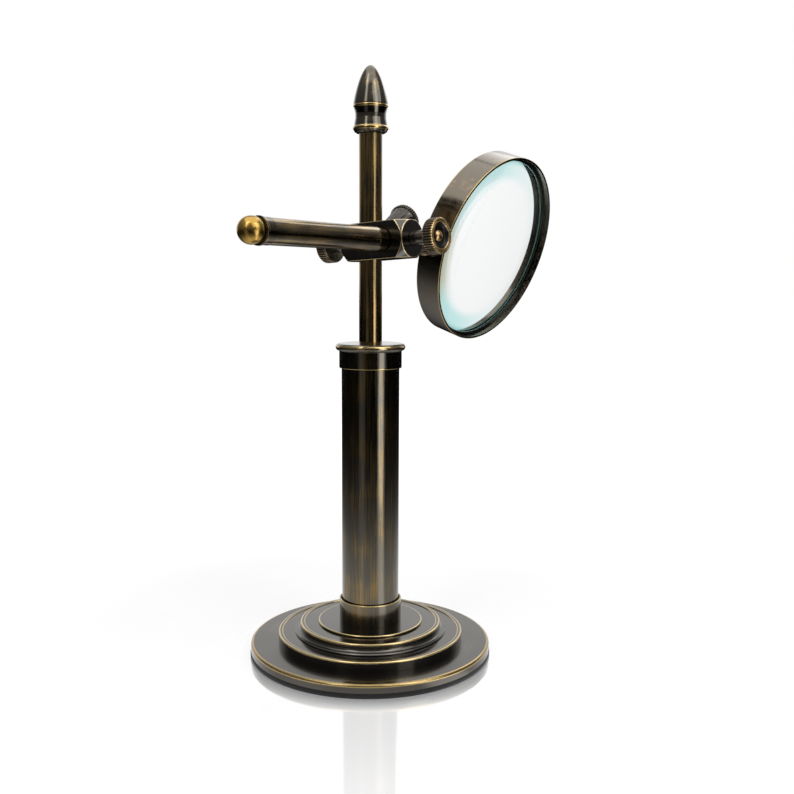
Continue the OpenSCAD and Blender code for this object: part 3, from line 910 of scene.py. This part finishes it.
for end, place, tip in (("rod", at_rod_screw, 7.278), ("arm", at_arm_screw, 7.2)):
    knob_z = 25.4
    thumb_screw(
        end + "_thumb_screw",
        place,
        tip=tip,
        start=13.7,
        knob_z=knob_z,
        floor_z=29.4,
        body=end + "_screw",
        node=end + "_lock_screw",
    )
    thumb_knob(
        end + "_thumb_knob",
        place,
        r=9.5,
        z=knob_z,
        thick=6.4,
        dish=2.4,
        under=[(2.55, knob_z)],
        body=end + "_screw",
        node=end + "_lock_knob",
        slot="worn_bronze",
        paint=knob_bronze,
    )
back_bronze = bronze(
    "back_bronze",
    (0.06, 0.056, 0.048),
    (0.1, 0.085, 0.06),
    (0.16, 0.13, 0.08),
    rough=0.12,
    grain=along,
    coat=0.1,
)
thumb_screw(
    "back_thumb_screw",
    at_back_screw,
    tip=8.885,
    start=12.6,
    knob_z=33,
    floor_z=34.6,
    body="back_screw",
    node="back_lock_screw",
)
thumb_knob(
    "back_thumb_knob",
    at_back_screw,
    r=9.2,
    z=33,
    thick=3.2,
    dish=1.6,
    under=[(2.55, 33), (3.95, 33), (3.95, 13.6), (5, 13.6, 0.2, 0.6), (5.4, 18), (5.85, 20.5)]
    + [(6.3, 23), (6.85, 26), (7.45, 29), (7.9, 31), (8.35, 33)],
    body="back_screw",
    node="back_lock_knob",
    slot="dark_bronze",
    paint=back_bronze,
)

# ---- Cross arm ----
# A brass rod through the clamp. Its front end has a cap with a thin flange and a cup for a polished ball on
# a stud, and its back end screws into a turned boss, which is brazed to the lens's band.

arm_bronze = bronze("arm_bronze", (0.1, 0.084, 0.06), (0.36, 0.25, 0.11), rub=0.5, rough=0.16, grain=along)
arm = turned(
    "arm_bar",
    [
        (0, -87.9),
        (3.05, -87.9),
        (3.05, -95.9),
        (6.4, -95.9, 0.1),
        (6.4, 28.8, 0.1, 0.4),
        (4, 28.8),
        (4, 36.8, 0.3),
        (0, 36.8),
    ],
    on_arm,
    128,
)
arm.data.materials.append(arm_bronze)
shown_as(arm, "arm", "worn_bronze", "arm_rod")
cap_bronze = bronze(
    "end_cap_bronze",
    (0.1, 0.084, 0.06),
    (0.32, 0.22, 0.1),
    (0.5, 0.36, 0.16),
    rub=0.2,
    rough=0.13,
    grain=along,
)
end_cap = turned(
    "arm_end_cap",
    [
        (3.05, -95.9),
        (3.05, -100.147),
        (4.1, -100.878, 0.1),
        (5.5, -100.878, 0.05),
        (5.5, -102.1, 0.05, 0.4),
        (6.9, -102.1, 0.3, 0.2),
        (6.9, -100.9, 0.12, 1),
        (6.55, -100.9, 0.05, 0.4),
        (6.55, -95.9, 0.08, 0.5),
    ],
    on_arm,
    128,
    # The face round the ball's stud is darkened: painted shade under the ball.
    band=lambda r, z: -0.9 * (z < -101.95) * (r < 6.6),
)
end_cap.data.materials.append(cap_bronze)
shown_as(end_cap, "arm", "dark_bronze", "arm_ferrule")
bright_brass = bronze(
    "bright_brass",
    (0.42, 0.26, 0.065),
    (0.46, 0.3, 0.085),
    (0.6, 0.42, 0.16),
    rub=-0.3,
    rough=0.22,
    coat=0.0,
)
ball = turned(
    "brass_ball",
    [(0, -104.2), (3.05, -104.2), (3.05, -100.247)] + curve(0, -106.1, 6.6, 62.2, -89, 60) + [(0, -112.7)],
    on_arm,
    128,
)
ball.data.materials.append(bright_brass)
shown_as(ball, "arm", "bright_brass", "arm_ball")
lens_tilt = np.radians(18.4)
lens_reach = 96
band_wall = 57.25


def on_band(r, a, z):
    """The boss ends on the band: its height is the least of the outline's and of the band's wall, a
    cylinder's, at the point's distance from the plane of the arm and the lens's axis."""
    off = r * (np.cos(a) * np.cos(lens_tilt) + np.sin(a) * np.sin(lens_tilt))
    return np.minimum(z, lens_reach - np.sqrt(band_wall**2 - off**2))


boss = turned(
    "arm_boss",
    [(0, 36.9), (4.05, 36.9), (4.05, 28.8), (6.4, 28.8, 0.1, 0.5), (7.2, 29.6, 0.3, 1), (7.2, 35.8, 0.2)]
    + [(7.6, 37.6, 0.4, 1), (7.6, 39.8), (5, 39.8), (2.5, 39.8), (0, 39.8)],
    on_arm,
    128,
    height_at=on_band,
)
boss.data.materials.append(cap_bronze)
shown_as(boss, "arm", "dark_bronze", "ring_boss")

# ---- Lens and its band ----
# A wide band of thin brass with a ledge inside, the glass laid on it, and a thin ring pressed in front
# of the glass. The band is coloured dark and its two edges are rubbed to gold.

on_lens = (
    at_arm
    @ Matrix.Rotation(droop, 4, "Y")
    @ Matrix.Translation((lens_reach, 0, 0))
    @ Matrix.Rotation(np.pi / 2 + lens_tilt, 4, "X")
)
band_bronze = bronze("band_bronze", (0.13, 0.11, 0.085), (0.24, 0.18, 0.11), rub=0.05, rough=0.15)
lens_band = turned(
    "lens_band",
    [
        (55.8, 8.2, 0.12, 0.3),
        (55.8, -0.801, 0.1),
        (54.2, -0.801, 0.1),
        (54.2, -1.951, 0.1),
        (55.8, -2.251),
        (55.8, -8.2, 0.12, 0.3),
        (57.2, -8.2, 0.4, 0.9),
        (57.2, 8.2, 0.4, 0.9),
    ],
    on_lens,
    320,
    # The band's inner faces are darkened a little: painted shade inside the band.
    band=lambda r, z: -0.25 * (r < 56.0),
)
lens_band.data.materials.append(band_bronze)
shown_as(lens_band, "arm", "worn_bronze", "lens_ring")
inner_ring = turned(
    "glass_ring",
    [(54.2, 2.851, 0.1), (55.75, 2.851, 0.1), (55.75, 4.051, 0.2), (54.2, 4.051, 0.25)],
    on_lens,
    256,
)
ring_bronze = bronze("ring_bronze", (0.05, 0.062, 0.056), (0.09, 0.11, 0.1), rough=0.14)
inner_ring.data.materials.append(ring_bronze)
shown_as(inner_ring, "arm", "worn_bronze", "retaining_ring")
# The tint stands for the light that the ground edge sends into the glass: olive at the middle's height,
# teal above and below it, strongest on the arm's side. With an index of 1.5 the glass would reflect a
# slanting view at its back face; 1.2 lets it through.
glass, tree, shader = material("clear_glass", Transmission_Weight=1.0, IOR=1.2, Roughness=0.0)
rim = tree.nodes.new("ShaderNodeAttribute")
rim.attribute_name = "wear_and_shade_mask"
where = tree.nodes.new("ShaderNodeTexCoord")
place = tree.nodes.new("ShaderNodeSeparateXYZ")
links(tree, (where.outputs["Object"], place.inputs[0]))
towards_arm = ramp(tree, place.outputs["X"], 0.075, 0.12, 1.0, 0.25)
gathered = arithmetic(tree, "MULTIPLY", ramp(tree, rim.outputs["Fac"], 0.5, 0.72), towards_arm)
off_middle = arithmetic(tree, "ABSOLUTE", arithmetic(tree, "SUBTRACT", place.outputs["Z"], 0.222))
teal = ramp(tree, off_middle, 0.008, 0.026)
tint = blend(tree, gathered, (0.93, 0.94, 0.94), blend(tree, teal, (0.4, 0.43, 0.3), (0.54, 0.81, 0.8)))
deepest = blend(tree, teal, (0.26, 0.36, 0.26), (0.22, 0.5, 0.5))
tint = blend(tree, ramp(tree, rim.outputs["Fac"], 0.84, 1.0), tint, deepest)
tree.links.new(tint, shader.inputs["Base Color"])
glass_r, bulge, back_edge, front_edge = 55.6, 5, -0.5, 2.5
clear_r = 24
face_r = (glass_r**2 + bulge**2) / (2 * bulge)
edge_angle = np.degrees(np.arcsin(glass_r / face_r))
glass_disc = turned(
    "lens_glass",
    [(0, back_edge - bulge)]
    + curve(0, back_edge - bulge + face_r, face_r, -89.9, edge_angle - 90, 40)[:-1]
    + [(glass_r, back_edge, 0.12), (glass_r, front_edge, 0.12)]
    + curve(0, front_edge + bulge - face_r, face_r, 90 - edge_angle, 89.9, 40)[1:]
    + [(0, front_edge + bulge)],
    on_lens,
    256,
    band=lambda r, z: np.clip((r - clear_r) / (glass_r - clear_r), 0, 1),
)
glass_disc.data.materials.append(glass)
# The ground edge is cloudy and glows faintly in its own colour: a painted glow for the light the glass
# gathers at its edge.
ground, tree, shader = material("ground_edge", Roughness=0.7, Emission_Strength=0.03)
cloudy_glow = blend(tree, ramp(tree, noise(tree, 25), 0.4, 0.6), (0.2, 0.36, 0.34), (0.34, 0.4, 0.3))
links(tree, (cloudy_glow, shader.inputs["Base Color"]), (cloudy_glow, shader.inputs["Emission Color"]))
glass_disc.data.materials.append(ground)
centres = np.empty(len(glass_disc.data.polygons) * 3)
glass_disc.data.polygons.foreach_get("center", centres)
local = own_space(on_lens, centres)
at_edge = np.hypot(local[:, 0], local[:, 1]) > glass_r - 0.2
glass_disc.data.polygons.foreach_set("material_index", at_edge.astype(np.int32))
shown_as(glass_disc, "arm", "lens_glass", "lens")
